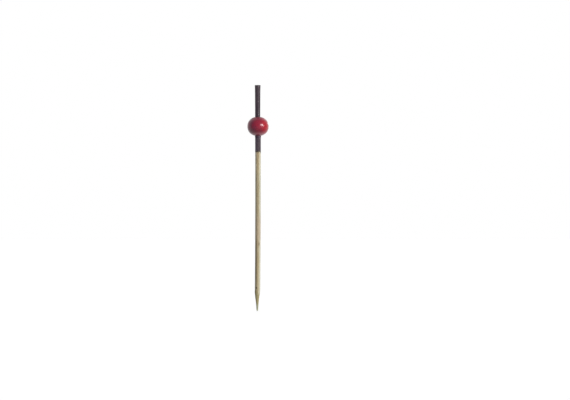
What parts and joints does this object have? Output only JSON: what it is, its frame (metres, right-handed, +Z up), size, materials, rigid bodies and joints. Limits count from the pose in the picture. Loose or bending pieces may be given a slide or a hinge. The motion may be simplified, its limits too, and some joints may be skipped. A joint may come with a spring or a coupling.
{
  "type": "finger food pick",
  "caption": "Sharpened round bamboo stick with its upper end coated in black lacquer and a glossy red bead glued on the black part, for holding a bite of food.",
  "frame": {"origin": "the tip of the point, where the pick goes into the food", "axes": "+Z up along the stick from the tip to the lacquered end, the pictured front faces -Y, +X to the picture's right"},
  "size_m": [0.0113, 0.0114, 0.12],
  "materials": {
    "bamboo": "bare bamboo, smooth along the fibre",
    "black_lacquer": "satin black lacquer over fibre ridges",
    "bead_wood": "turned pale wood",
    "red_lacquer": "high gloss red lacquer",
    "glue": "hardened clear glue, dark over the black coat"
  },
  "bodies": {
    "root": {"bamboo_stick": "bamboo", "black_lacquer_coat": "black_lacquer", "bead_wood_core": "bead_wood", "bead_red_lacquer": "red_lacquer", "bead_glue": "glue"}
  },
  "joints": []
}
